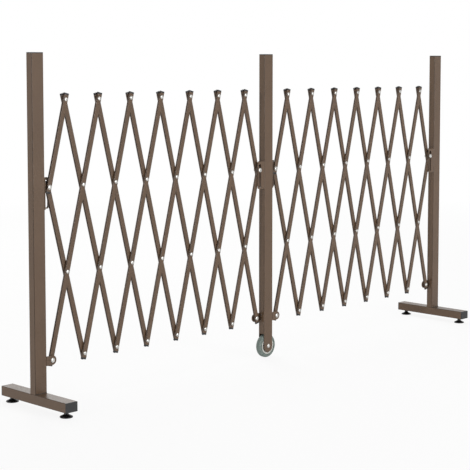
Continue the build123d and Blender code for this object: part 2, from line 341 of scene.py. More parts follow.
@dataclass(frozen=True)
class PowderCoat(Finish):
    """Baked powder coat: a satin paint with an orange-peel skin and fine flecks, with painted
    shade on its roundings.
    """

    roughness: float = 0.3
    gloss_share: float = 0.35
    # Share of the colour left on the roundings and leaning side faces: painted shade, standing in
    # for the dark reflections and shade along the edges
    painted_edge_shade: float = 0.2
    drift: Cloud = Cloud(7.0, 3.0)
    drift_span: Span = (0.3, 0.7)
    drift_tones: Span = (0.93, 1.07)
    drift_gloss: float = 0.1
    flecks: Cloud = Cloud(1900.0, 1.0)
    fleck_span: Span = (0.35, 0.7)
    fleck_share: float = 0.3
    fleck_tone: float = 1.45
    peel: Cloud = Cloud(420.0, rough=0.4)
    peel_depth_mm: float = 0.05
    peel_strength: float = 0.6
    peel_gloss: float = 0.12
    grain: Cloud = Cloud(1900.0)
    grain_share: float = 0.2
    grain_strength: float = 0.5

    def surface(self, graph: Graph) -> Socket:
        """Flecked colour, painted shade darkening the roundings, uneven gloss and the orange peel.
        """
        drift, peel = graph.noise(self.drift), graph.noise(self.peel)
        dim, bright = (toned(self.colour, tone) for tone in self.drift_tones)
        tone = graph.blend(graph.spread(drift, self.drift_span), dim, bright)
        flecks = graph.spread(graph.noise(self.flecks), self.fleck_span) * self.fleck_share
        tone = graph.blend(flecks, tone, toned(self.colour, self.fleck_tone))
        # Painted shade: the colour darkens on the roundings, and a little on the bars' leaning
        # side faces
        tone = graph.blend(graph.edges(), tone, toned(self.colour, self.painted_edge_shade))
        uneven = self.drift_gloss * (drift - NOISE_MEAN) + self.peel_gloss * (peel - NOISE_MEAN)
        skin = graph.bump(peel, self.peel_depth_mm, self.peel_strength)
        depth = self.peel_depth_mm * self.grain_share
        fine = graph.bump(graph.noise(self.grain), depth, self.grain_strength, skin)
        return self.shader(
            graph,
            {
                "Base Color": tone,
                "Roughness": (self.roughness + uneven).clamped(),
                "Specular IOR Level": self.gloss_share,
                "Normal": fine,
            },
        )


@dataclass(frozen=True)
class MouldedPlastic(Finish):
    """Injection-moulded plastic with a fine spark-eroded grain, and slight scuffs or dust."""

    roughness: float = 0.46
    grain: Cloud = Cloud(1500.0)
    grain_depth_mm: float = 0.04
    grain_strength: float = 0.5
    grain_gloss: float = 0.16
    patches: Cloud = Cloud(90.0, 4.0, 0.6, (1.0, 1.0, 4.0))
    patch_span: Span = (0.55, 0.8)
    patch_share: float = 0.35
    patch_gloss: float = 0.15
    scuff_tone: float = 1.8
    dust: Colour | None = None

    def surface(self, graph: Graph) -> Socket:
        """Nearly even colour with patches, and the mould's grain."""
        grain = graph.noise(self.grain)
        patches = graph.spread(graph.noise(self.patches), self.patch_span)
        worn = self.dust or toned(self.colour, self.scuff_tone)
        tone = graph.blend(patches * self.patch_share, self.colour, worn)
        uneven = self.grain_gloss * (grain - NOISE_MEAN) + self.patch_gloss * patches
        return self.shader(
            graph,
            {
                "Base Color": tone,
                "Roughness": (self.roughness + uneven).clamped(),
                "Normal": graph.bump(grain, self.grain_depth_mm, self.grain_strength),
            },
        )


@dataclass(frozen=True)
class TyreRubber(MouldedPlastic):
    """Soft grey-green tread rubber, moulded like the plastic, dulled and a little dusty."""

    roughness: float = 0.62
    grain: Cloud = Cloud(1100.0, 3.0)
    grain_depth_mm: float = 0.06
    grain_gloss: float = 0.15
    patches: Cloud = Cloud(60.0, 4.0, 0.6)
    patch_span: Span = (0.5, 0.75)
    patch_share: float = 0.18
    patch_gloss: float = 0.12
    dust: Colour | None = (0.42, 0.42, 0.38)


@dataclass(frozen=True)
class ZincPlate(Finish):
    """Bright zinc-plated steel with a cloudy passivated skin and fine draw marks."""

    roughness: float = 0.3
    clouds: Cloud = Cloud(260.0, 3.0, 0.6)
    cloud_span: Span = (0.3, 0.7)
    cloud_tone: float = 0.84
    cloud_gloss: float = 0.22
    marks: Cloud = Cloud(900.0, stretch=(1.0, 6.0, 1.0))
    mark_depth_mm: float = 0.02
    mark_strength: float = 0.4
    mark_gloss: float = 0.12

    def surface(self, graph: Graph) -> Socket:
        """Cloudy plating with fine marks in its gloss."""
        clouds, marks = graph.noise(self.clouds), graph.noise(self.marks)
        dim = toned(self.colour, self.cloud_tone)
        tone = graph.blend(graph.spread(clouds, self.cloud_span), dim, self.colour)
        uneven = self.cloud_gloss * (clouds - NOISE_MEAN) + self.mark_gloss * (marks - NOISE_MEAN)
        return self.shader(
            graph,
            {
                "Base Color": tone,
                "Metallic": 1.0,
                "Roughness": (self.roughness + uneven).clamped(),
                "Normal": graph.bump(marks, self.mark_depth_mm, self.mark_strength),
            },
        )


class FinishRack:
    """Keeps one material for each kind of stuff, and gives it to pieces."""

    def __init__(self) -> None:
        finishes = {
            Stuff.BROWN: PowderCoat("brown_powder_coat", written(96, 76, 59)),
            Stuff.BLACK: MouldedPlastic("black_moulded_plastic", written(22, 22, 23)),
            Stuff.BLACK_STEEL: PowderCoat(
                "black_coated_steel",
                written(17, 17, 18),
                roughness=0.26,
                # No painted edge shade on the black coat
                painted_edge_shade=1.0,
                peel_depth_mm=0.03,
            ),
            Stuff.ZINC: ZincPlate("zinc_plated_steel", written(196, 195, 191)),
            Stuff.TYRE: TyreRubber("grey_tread_rubber", written(108, 120, 114)),
            Stuff.RIM: MouldedPlastic("pale_rim_plastic", written(196, 195, 188), roughness=0.4),
        }
        self.materials = {stuff: finish.material() for stuff, finish in finishes.items()}

    def dress(self, stuff: Stuff, *nodes: str) -> None:
        """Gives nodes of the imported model, which stay as they are, their finish."""
        for node in nodes:
            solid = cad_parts[node]
            if not solid.material_slots:
                solid.data.materials.append(self.materials[stuff])
            for place in solid.material_slots:
                place.material = self.materials[stuff]
            log.info("%s keeps its solid, in %s", node, stuff.value)


# Shapes


class Shape:
    """A mesh on the bench, in millimetres."""

    def __init__(self) -> None:
        self.mesh = bmesh.new()

    def moved(self, place: Matrix) -> "Shape":
        """Moves the whole shape by a matrix."""
        bmesh.ops.transform(self.mesh, matrix=place, verts=self.mesh.verts[:])
        return self

    def to(self, x: float, y: float, z: float, facing: Facing = Facing.UP) -> "Shape":
        """Turns the shape the way it faces, then sets its foot at a point."""
        return self.moved(Matrix.Translation((x, y, z)) @ facing.turn())

    def join(self, others: Iterable["Shape"]) -> "Shape":
        """Takes other shapes into this one."""
        for other in others:
            carried = bpy.data.meshes.new("carried")
            other.mesh.to_mesh(carried)
            other.mesh.free()
            self.mesh.from_mesh(carried)
            bpy.data.meshes.remove(carried)
        return self

    def tidied(self) -> "Shape":
        """Closes seams and poles and turns every face outwards."""
        bmesh.ops.remove_doubles(self.mesh, verts=self.mesh.verts[:], dist=SEAM)
        bmesh.ops.recalc_face_normals(self.mesh, faces=self.mesh.faces[:])
        return self

    def round_off(
        self, parts: list, offset: float, affect: str, segments: int, clamp: bool = False
    ) -> None:
        """Rounds corners or edges off.

        Args:
            parts: the corners or edges.
            offset: how far from them the rounding starts.
            affect: "VERTICES" for corners, "EDGES" for edges.
            segments: how many facets it gets.
            clamp: whether it stops where it would meet another one.
        """
        bmesh.ops.bevel(
            self.mesh,
            geom=parts,
            offset=offset,
            affect=affect,
            segments=segments,
            profile=ARC,
            material=-1,
            clamp_overlap=clamp,
        )

    def inset(self, face: Face, thickness: float) -> list[Face]:
        """Insets a face evenly and gives the new faces round it."""
        made = bmesh.ops.inset_region(
            self.mesh, faces=[face], thickness=thickness, use_boundary=True, use_even_offset=True
        )
        return made["faces"]

    def raised(self, faces: list[Face], height: float) -> list[Face]:
        """Extrudes faces.

        Args:
            faces: the faces, which stay where they are.
            height: how far up the new ones go, or down below nothing.

        Returns:
            The new faces at the far end.
        """
        made = bmesh.ops.extrude_face_region(self.mesh, geom=faces)["geom"]
        ends = [part for part in made if isinstance(part, bmesh.types.BMVert)]
        bmesh.ops.translate(self.mesh, vec=(0.0, 0.0, height), verts=ends)
        return [part for part in made if isinstance(part, Face)]

    def pushed(self, face: Face, height: float) -> None:
        """Moves a face of a closed shape up or down and walls in the step that it leaves."""
        self.raised([face], height)
        bmesh.ops.delete(self.mesh, geom=[face], context="FACES_ONLY")


def turned(outline: Sequence[Corner], steps: int, ring: bool = False) -> Shape:
    """Turns an outline round its upright axis.

    Args:
        outline: its corners in order.
        steps: how many facets go round.
        ring: whether the outline closes on itself, for a piece with a hole.

    Returns:
        The closed shape.
    """
    shape = Shape()
    bench = shape.mesh
    corners = [(*corner, 0.0)[:3] for corner in outline]
    spots = [bench.verts.new((radius, 0.0, height)) for radius, height, _ in corners]
    pairs = list(zip(spots, spots[1:]))
    if ring:
        pairs.append((spots[-1], spots[0]))
    for pair in pairs:
        bench.edges.new(pair)
    for rounding in sorted({corner[2] for corner in corners if corner[2] > 0}):
        parts = [spot for spot, corner in zip(spots, corners) if corner[2] == rounding]
        facets = MANY_FACETS if rounding > LARGE_ROUNDING else FEW_FACETS
        shape.round_off(parts, rounding, "VERTICES", facets, clamp=True)
    bmesh.ops.spin(
        bench,
        geom=bench.verts[:] + bench.edges[:],
        axis=(0.0, 0.0, 1.0),
        angle=math.tau,
        steps=steps,
        use_merge=True,
    )
    return shape.tidied()


def flipped(outline: Iterable[Corner]) -> list[Corner]:
    """The outline with its heights turned to depths."""
    return [(radius, -height, *rounding) for radius, height, *rounding in outline]


def both_sides(side: list[Corner]) -> list[Corner]:
    """The closed outline of a ring, made from its upper side, which starts at the bore."""
    return [*flipped(side), *reversed(side)]


def height_of(face: Face) -> float:
    """How high the middle of a face lies."""
    return face.calc_center_median().z


@dataclass(frozen=True)
class Section:
    """A rectangular tube's size along X and Y, corner radius and wall, and its plugs' sizes."""

    width: float
    depth: float
    corner: float
    wall: float
    corner_facets: int = 3
    flange: float = 5.5
    flange_edge: float = 0.8
    spigot_play: float = 0.1
    spigot_reach: float = 8.0

    def plate(self) -> tuple[Shape, Face]:
        """A flat plate of the section's outline, facing up, and its one face."""
        shape = Shape()
        bench = shape.mesh
        bmesh.ops.create_grid(bench, x_segments=1, y_segments=1, size=0.5)
        bmesh.ops.scale(bench, vec=(self.width, self.depth, 1.0), verts=bench.verts[:])
        shape.round_off(bench.verts[:], self.corner, "VERTICES", self.corner_facets)
        return shape, next(iter(bench.faces))

    def tube(self, length: float) -> Shape:
        """An open-ended tube of this length, standing on the floor."""
        shape, mouth = self.plate()
        rim = shape.inset(mouth, self.wall)
        bmesh.ops.delete(shape.mesh, geom=[mouth], context="FACES_ONLY")
        shape.raised(rim, length)
        return shape.tidied()

    def plug(self) -> Shape:
        """A plug for the tube's mouth: a flange on the floor, and a spigot below it."""
        shape, under = self.plate()
        top = shape.raised([under], self.flange)[0]
        shape.round_off(list(top.edges), self.flange_edge, "EDGES", self.corner_facets)
        lowest = min(shape.mesh.faces, key=height_of)
        shape.inset(lowest, self.wall + self.spigot_play)
        shape.pushed(lowest, -self.spigot_reach)
        return shape.tidied()


@dataclass(frozen=True)
class HexNut:
    """A six-sided nut with chamfered corners on a round collar, for a thread of this radius."""

    flats: float
    height: float
    collar: float
    thread: float
    sides: int = 6
    chamfer: float = 0.09
    recess_depth: float = 0.12
    recess_radius: float = 1.15
    collar_radius: float = 1.02
    collar_facets: int = 24

    def shape(self) -> Shape:
        """The nut, standing on the floor."""
        half, low = self.flats / 2, self.collar / 2
        nut = Shape()
        radius = half / math.cos(math.pi / self.sides)
        bmesh.ops.create_circle(nut.mesh, cap_ends=True, segments=self.sides, radius=radius)
        under = next(iter(nut.mesh.faces))
        bmesh.ops.translate(nut.mesh, vec=(0.0, 0.0, low), verts=nut.mesh.verts[:])
        top = nut.raised([under], self.height - low)[0]
        corners = [*top.verts, *under.verts]
        nut.round_off(corners, self.flats * self.chamfer, "VERTICES", FEW_FACETS)
        mouth = max(nut.mesh.faces, key=height_of)
        nut.inset(mouth, half - self.thread * self.recess_radius)
        nut.pushed(mouth, -self.height * self.recess_depth)
        rim = half * self.collar_radius
        collar = [(0.0, 0.0), (rim, 0.0), (rim, self.collar, self.collar / 3), (0.0, self.collar)]
        return nut.tidied().join([turned(collar, self.collar_facets)])


@dataclass(frozen=True)
class Thread:
    """A screw thread: its crests' radius, its pitch, and its depth as a share of the pitch."""

    radius: float
    pitch: float
    depth: float = 0.45

    def outline(self, low: float, high: float) -> list[Corner]:
        """The thread's zigzag.

        Args:
            low: where it starts, at the crests' radius.
            high: where it ends, on the axis.

        Returns:
            Its corners from the top end down.
        """
        root = self.radius - self.pitch * self.depth
        outline = [(0.0, high), (root, high)]
        for turn in range(max(1, int((high - low) / self.pitch))):
            crest = high - (turn + 0.5) * self.pitch
            outline += [(self.radius, crest), (root, crest - self.pitch / 2)]
        return [*outline, (self.radius, low)]


@dataclass(frozen=True)
class Dome:
    """A domed head on an upright rim, with a pressed dimple. Depths are shares of the crown."""

    radius: float
    height: float
    rim: float
    dimple: float
    dimple_depth: float = 0.28
    dimple_floor: float = 0.62
    lip_depth: float = 0.02
    lip_rounding: float = 0.1
    crown_steps: tuple[float, ...] = (0.45, 0.62, 0.76, 0.88, 0.96)
    crown_power: float = 2.6

    def outline(self) -> list[Corner]:
        """Corners from the axis at the top down to the rim's foot."""
        crown = self.height - self.rim
        floor = self.height - crown * self.dimple_depth
        rise = [(step, math.sqrt(1 - step**self.crown_power)) for step in self.crown_steps]
        return [
            (0.0, floor),
            (self.dimple * self.dimple_floor, floor),
            (self.dimple, self.height - crown * self.lip_depth, self.lip_rounding),
            *((self.radius * step, self.rim + crown * share) for step, share in rise),
            (self.radius, self.rim),
            (self.radius, 0.0),
        ]


@dataclass(frozen=True)
class Bolt:
    """A domed bolt, how long its thread is, its nut, its facets and what tops the nut."""

    head: Dome
    thread: Thread
    threaded: float
    nut: HexNut
    facets: int
    tip: float = 1.5

    def through(self, spot: Span, front: float, rear: float) -> Shape:
        """The bolt, lying in the gate's depth, and its nut.

        Args:
            spot: its place along the gate and its height.
            front: where its head bears.
            rear: where its nut bears.

        Returns:
            Bolt and nut in place.
        """
        x, z = spot
        end = rear - front + self.nut.height + self.tip
        shank = flipped(reversed(self.thread.outline(end - self.threaded, end)))
        bolt = turned([*self.head.outline(), (self.thread.radius, 0.0), *shank], self.facets)
        bolt.to(x, front, z, Facing.FRONT)
        return bolt.join([self.nut.shape().to(x, rear, z, Facing.REAR)])


class Bench:
    """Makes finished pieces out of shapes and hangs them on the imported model."""

    def __init__(self, rack: FinishRack) -> None:
        self.rack = rack

    def finish(
        self,
        shape: Shape,
        name: str,
        body: str,
        stuff: Stuff,
        nodes: Sequence[str] = (),
        crease: float = 32.0,
        flats_rule: bool = False,
    ) -> None:
        """Makes one piece.

        Args:
            shape: its shape in millimetres, in place.
            name: the piece's name.
            body: the body that it rides on.
            stuff: what it is finished in.
            nodes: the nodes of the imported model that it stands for.
            crease: the angle in degrees past which an edge is drawn sharp.
            flats_rule: whether the large flat faces keep their own shading at soft edges.
        """
        shape.moved(Matrix.Scale(MM, 4))
        data = bpy.data.meshes.new(name)
        shape.mesh.to_mesh(data)
        shape.mesh.free()
        data.shade_smooth()
        data.set_sharp_from_angle(angle=math.radians(crease))
        data.materials.append(self.rack.materials[stuff])
        piece = placed(name, data)
        if flats_rule:
            even = piece.modifiers.new("flat_faces_rule", "WEIGHTED_NORMAL")
            even.keep_sharp = True
            even.weight = FLATS_WEIGHT
        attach(piece, body)
        if nodes:
            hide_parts(*nodes)
        log.info("%s: %d faces, on %s", name, len(data.polygons), body)


# Sub-assemblies


@dataclass
class EndStand:
    """An end post on its cross tube, with plugs, weld beads and levelling feet."""

    side: str
    x: float
    base_top: float = 47.0
    foot_y: float = 127.0
    weld_margin: float = 1.5
    weld_root: float = 0.4
    weld_sink: float = 0.3
    weld_leg: float = 2.2
    weld_belly: float = 0.62
    weld_ripple: float = 0.25
    weld_pitch: float = 1.6
    weld_crease: float = 70.0

    def weld_bead(self, turn: float) -> Shape:
        """A fillet weld along a face of the post's foot, with its ripples.

        Args:
            turn: the turn in radians from the post's rear face to that face.

        Returns:
            The bead.
        """
        half = POST_WIDTH / 2 - self.weld_margin
        steps = int(2 * half / self.weld_pitch)
        face = POST_DEPTH / 2
        leg, belly = self.weld_leg, self.weld_leg * self.weld_belly
        rim = [
            (face - self.weld_root, -self.weld_sink),
            (face + leg, -self.weld_sink),
            (face + belly, belly),
            (face - self.weld_root, leg),
        ]
        shape = Shape()
        bench = shape.mesh
        profile = bench.faces.new([bench.verts.new((-half, y, z)) for y, z in rim])
        bmesh.ops.spin(
            bench,
            geom=[profile, *profile.edges, *profile.verts],
            axis=(1.0, 0.0, 0.0),
            dvec=(2 * half / steps, 0.0, 0.0),
            steps=steps,
        )
        bellies = [spot for spot in bench.verts if 0 < spot.co.z < (belly + leg) / 2]
        ridges = [spot for spot in bellies if int(spot.co.x / 2 / half * steps) % 2]
        bmesh.ops.translate(bench, vec=(0.0, self.weld_ripple, self.weld_ripple), verts=ridges)
        foot = Matrix.Translation((self.x, 0.0, self.base_top))
        return shape.tidied().moved(foot @ Matrix.Rotation(turn, 4, "Z"))

    def build(self, bench: Bench) -> None:
        """Dresses the tubes and makes the beads, feet and plugs."""
        bench.rack.dress(Stuff.BROWN, f"{self.side}_post", f"{self.side}_base_tube")
        bench.rack.dress(Stuff.BLACK, f"{self.side}_stand_plugs")
        bench.rack.dress(Stuff.ZINC, f"{self.side}_foot_nuts")
        beads = self.weld_bead(math.pi).join([self.weld_bead(0.0)])
        name, body = f"{self.side}_post_weld_beads", f"{self.side}_stand"
        bench.finish(beads, name, body, Stuff.BROWN, crease=self.weld_crease)
        for place, y in (("front", -self.foot_y), ("rear", self.foot_y)):
            LevellingFoot(f"{self.side}_{place}_foot", self.x, y).build(bench)


@dataclass
class LevellingFoot:
    """A round coated pad with a conical neck on a threaded stud."""

    node: str
    x: float
    y: float
    pad_facets: int = 56
    pad_radius: float = 19.0
    rim_height: float = 3.0
    hollow: float = 0.8
    tread_inner: float = 4.0
    tread_outer: float = 3.2
    neck_radius: float = 6.5
    neck_start: float = 9.0
    neck_top: float = 17.7
    seat_depth: float = 3.0
    thread: Thread = Thread(4.0, 1.25)
    stud_play: float = 0.3
    stud_depth: float = 2.6
    stud_top: float = 39.5
    stud_facets: int = 24
    stud_crease: float = 50.0

    def pad(self) -> Shape:
        """The pad."""
        seat, seat_radius = self.neck_top - self.seat_depth, self.thread.radius + self.stud_play
        return turned(
            [
                (0.0, self.hollow),
                (self.pad_radius - self.tread_inner, self.hollow),
                (self.pad_radius - self.tread_outer, 0.0),
                (self.pad_radius, 0.0, 0.6),
                (self.pad_radius, self.rim_height, 1.2),
                (self.neck_radius, self.neck_start, 2.2),
                (self.neck_radius, self.neck_top, 0.8),
                (seat_radius, self.neck_top),
                (seat_radius, seat),
                (0.0, seat),
            ],
            self.pad_facets,
        )

    def stud(self) -> Shape:
        """The threaded stud."""
        low = self.neck_top - self.stud_depth
        outline = [*self.thread.outline(low, self.stud_top), (0.0, low)]
        return turned(outline, self.stud_facets)

    def build(self, bench: Bench) -> None:
        """Makes the pad and the stud, which stand for the foot's node."""
        node, place = self.node, (self.x, self.y, 0.0)
        bench.finish(self.pad().to(*place), f"{node}_pad", node, Stuff.BLACK_STEEL, [node])
        stud = self.stud().to(*place)
        bench.finish(stud, f"{node}_stud", node, Stuff.ZINC, [node], self.stud_crease)


@dataclass
class PostBrackets:
    """The slotted and round-ended brackets on one post, and the rivets that hold them."""

    post: str
    x: float
    sides: dict[int, str]
    plate: float = 2.5
    facets: int = 28
    head_radius: float = 4.7
    head_height: float = 1.5
    head_rim: float = 0.35
    dimple_depth: float = 0.7
    dimple_radius: float = 1.3
    shank_radius: float = 2.4
    bulb_radius: float = 3.3
    bulb_length: float = 3.0
    tube_wall: float = 1.5
    rivet_heights: tuple[float, ...] = (132.0, 147.0, 598.31, 658.31)

    def rivet(self) -> Shape:
        """A blind rivet, standing on the bracket's plate, its bulb behind the post's wall."""
        reach = self.plate + self.tube_wall
        floor, end = self.head_height - self.dimple_depth, -reach - self.bulb_length
        return turned(
            [
                (0.0, floor),
                (self.dimple_radius, floor),
                (self.dimple_radius + 0.2, self.head_height, 0.15),
                (self.head_radius - 1.5, self.head_height - 0.15, 1.2),
                (self.head_radius, self.head_rim),
                (self.head_radius, 0.0),
                (self.shank_radius, 0.0),
                (self.shank_radius, -reach),
                (self.bulb_radius, -reach - 0.1, 0.6),
                (self.shank_radius, end),
                (0.0, end),
            ],
            self.facets,
        )

    def build(self, bench: Bench) -> None:
        """Dresses the brackets and makes their rivets."""
        rivets = Shape()
        for side, place in self.sides.items():
            brackets = f"{place}_slotted_bracket", f"{place}_pivot_bracket"
            bench.rack.dress(Stuff.BROWN, *brackets)
            face = self.x + side * (POST_WIDTH / 2 + self.plate)
            facing = Facing.RIGHT if side > 0 else Facing.LEFT
            rivets.join(self.rivet().to(face, 0.0, z, facing) for z in self.rivet_heights)
        node = f"{self.post}_bracket_rivets"
        bench.finish(rivets, f"{node}_domed", f"{self.post}_stand", Stuff.BROWN, [node])


@dataclass
class CastorWheel:
    """The middle post's wheel: a tyre on a ribbed rim, on a bolt through the fork."""

    height: float = 40.0
    tyre_facets: int = 96
    rim_facets: int = 72
    tyre_radius: float = 40.0
    rim_radius: float = 28.0
    half_width: float = 10.0
    shoulder: float = 6.0
    groove: tuple[float, ...] = (2.2, 2.5, 3.3, 3.6)
    groove_depth: float = 0.7
    lip: float = 4.5
    half_web: float = 3.5
    boss_radius: float = 12.0
    boss_draft: float = 3.5
    half_boss: float = 10.7
    bore: float = 4.05
    ribs: int = 6
    rib_thickness: float = 2.6
    rib_root: float = 2.0
    rib_sink: float = 1.0
    rib_drop: float = 2.2
    rib_edge: float = 0.8
    blade_face: float = POST_DEPTH / 2
    axle: Bolt = Bolt(
        Dome(7.0, 4.0, 0.8, 2.2), Thread(4.0, 1.25), 7.5, HexNut(13.0, 6.5, 1.2, 4.0), 36
    )

    def tyre(self) -> Shape:
        """The tyre, with a moulded groove round each side."""
        across, floor = self.half_width, self.half_width - self.groove_depth
        start, inner, outer, end = (self.rim_radius + reach for reach in self.groove)
        side = [
            (self.rim_radius, across, 0.5),
            (start, across, 0.2),
            (inner, floor),
            (outer, floor),
            (end, across, 0.2),
            (self.tyre_radius, across, self.shoulder),
        ]
        return turned(both_sides(side), self.tyre_facets, ring=True)

    def rim(self) -> Shape:
        """The rim with its lip, web, boss and ribs."""
        inner = self.rim_radius - self.lip
        side = [
            (self.bore, self.half_boss),
            (self.boss_radius - self.boss_draft, self.half_boss, 0.8),
            (self.boss_radius, self.half_web, 1.2),
            (inner, self.half_web, 1.5),
            (inner, self.half_width, 0.8),
            (self.rim_radius, self.half_width, 0.4),
        ]
        wheel = turned(both_sides(side), self.rim_facets, ring=True)
        return wheel.join(self.rib(number, way) for number in range(self.ribs) for way in (-1, 1))

    def rib(self, number: int, way: int) -> Shape:
        """One rib between the boss and the lip.

        Args:
            number: which one round the wheel.
            way: -1 or +1, the side of the web.

        Returns:
            The rib, lying in the wheel's turned position.
        """
        inner = self.boss_radius - self.rib_root
        outer = self.rim_radius - self.lip + self.rib_sink
        tall = self.half_width - self.rib_drop - self.half_web + self.rib_sink
        rib = Shape()
        mesh = rib.mesh
        bmesh.ops.create_cube(mesh, size=1.0)
        bmesh.ops.scale(mesh, vec=(outer - inner, self.rib_thickness, tall), verts=mesh.verts[:])
        upper = [edge for edge in mesh.edges if all(spot.co.z * way > 0 for spot in edge.verts)]
        rib.round_off(upper, self.rib_edge, "EDGES", FEW_FACETS)
        middle = (self.half_web - self.rib_sink + tall / 2) * way
        out = Matrix.Translation(((inner + outer) / 2, 0.0, middle))
        return rib.moved(Matrix.Rotation(math.tau * number / self.ribs, 4, "Z") @ out)

    def build(self, bench: Bench) -> None:
        """Makes the tyre, rim and axle in the place of their nodes."""
        centre = (0.0, 0.0, self.height)
        tyre = self.tyre().to(*centre, Facing.FRONT)
        bench.finish(tyre, "wheel_tyre_tread", "wheel", Stuff.TYRE, ["wheel_tyre"])
        rim = self.rim().to(*centre, Facing.FRONT)
        bench.finish(rim, "wheel_rim_ribbed", "wheel", Stuff.RIM, ["wheel_hub"])
        axle = self.axle.through((0.0, self.height), -self.blade_face, self.blade_face)
        bench.finish(axle, "wheel_axle_bolt", "middle_stand", Stuff.ZINC, ["wheel_axle"])


@dataclass
class BarFittings:
    """The rivets, end bolts and bushes of a lattice, lying in the gate's depth."""

    rivet_facets: int = 28
    bush_facets: int = 40
    shank_radius: float = 3.0
    head: Dome = Dome(6.0, 3.0, 0.5, 1.5)
    tail_radius: float = 5.0
    tail_height: float = 2.2
    tail_roll: Span = (2.3, 1.5)
    roll_depth: float = 1.2
    bars_face: float = 6.85
    plate_face: float = POST_DEPTH / 2
    side_play: float = 0.15
    bolt: Bolt = Bolt(
        Dome(7.5, 3.5, 0.9, 2.3), Thread(3.0, 1.0), 7.0, HexNut(10.0, 5.0, 0.8, 3.0), 28
    )
    bush_bore: float = 3.05
    bush_radius: float = 9.5
    bush_near: float = 6.85
    bush_far: float = 9.85
    sleeve_radius: float = 5.4

    def rivet(self) -> Shape:
        """A rivet with a domed head in front and a rolled tail behind, head upwards."""
        depth = 2 * self.bars_face
        tail = depth + self.tail_height
        roll, pit = self.tail_roll
        return turned(
            [
                *self.head.outline(),
                (self.shank_radius, 0.0),
                (self.shank_radius, -depth),
                (self.tail_radius, -depth, 0.3),
                (self.tail_radius, -tail + 0.2, 0.9),
                (roll, -tail, 0.4),
                (pit, -tail + self.roll_depth),
                (0.0, -tail + self.roll_depth),
            ],
            self.rivet_facets,
        )

    def bush(self, spot: Span, layer: Layer, sleeved: bool) -> Shape:
        """The washer between a bar and a bracket.

        Args:
            spot: its place along the gate and its height.
            layer: the side of the lattice that it lies on.
            sleeved: whether it has a sleeve that runs in a slot.

        Returns:
            The bush in place.
        """
        outline = [
            (self.bush_bore, self.bush_near),
            (self.bush_radius, self.bush_near, 0.3),
            (self.bush_radius, self.bush_far, 0.4),
        ]
        if sleeved:
            outline.append((self.sleeve_radius, self.bush_far))
            outline.append((self.sleeve_radius, self.plate_face, 0.3))
        outline.append((self.bush_bore, self.plate_face if sleeved else self.bush_far))
        facing = Facing.FRONT if layer is Layer.FRONT else Facing.REAR
        x, z = spot
        return turned(outline, self.bush_facets, ring=True).to(x, 0.0, z, facing)


@dataclass
class LatticeBar:
    """One bar: a rectangular tube with a plug in each end, and what is riveted to it."""

    node: str
    low: Vector
    layer: Layer
    lean: float
    pivots: int
    section: Section = Section(18.0, BAR_DEPTH, 2.2, 1.2)
    tip: float = 18.5
    metalwork: list[Shape] = field(default_factory=list)
    bushes: list[Shape] = field(default_factory=list)

    def build(self, bench: Bench) -> None:
        """Makes the tube, the plugs, the metalwork and the bushes of the bar."""
        slope = self.lean if self.layer is Layer.FRONT else -self.lean
        lay = Matrix.Translation(self.low) @ Matrix.Rotation(slope, 4, "Y")
        run = (self.pivots - 1) * PIVOT_SPAN
        mouth = self.tip - self.section.flange
        tube = self.section.tube(run + 2 * mouth)
        tube.moved(lay @ Matrix.Translation((0.0, 0.0, -mouth)))
        node = self.node
        bench.finish(tube, f"{node}_tube", node, Stuff.BROWN, [node], flats_rule=True)
        plugs = Shape()
        for height, turn in ((run + mouth, 0.0), (-mouth, math.pi)):
            stand = Matrix.Translation((0.0, 0.0, height)) @ Matrix.Rotation(turn, 4, "Y")
            plugs.join([self.section.plug().moved(lay @ stand)])
        for parts, name, stuff in (
            ([plugs], "plugs", Stuff.BLACK),
            (self.metalwork, "fasteners", Stuff.ZINC),
            (self.bushes, "bush", Stuff.BLACK),
        ):
            if parts:
                bench.finish(Shape().join(parts), f"{node}_{name}", node, stuff, [node])


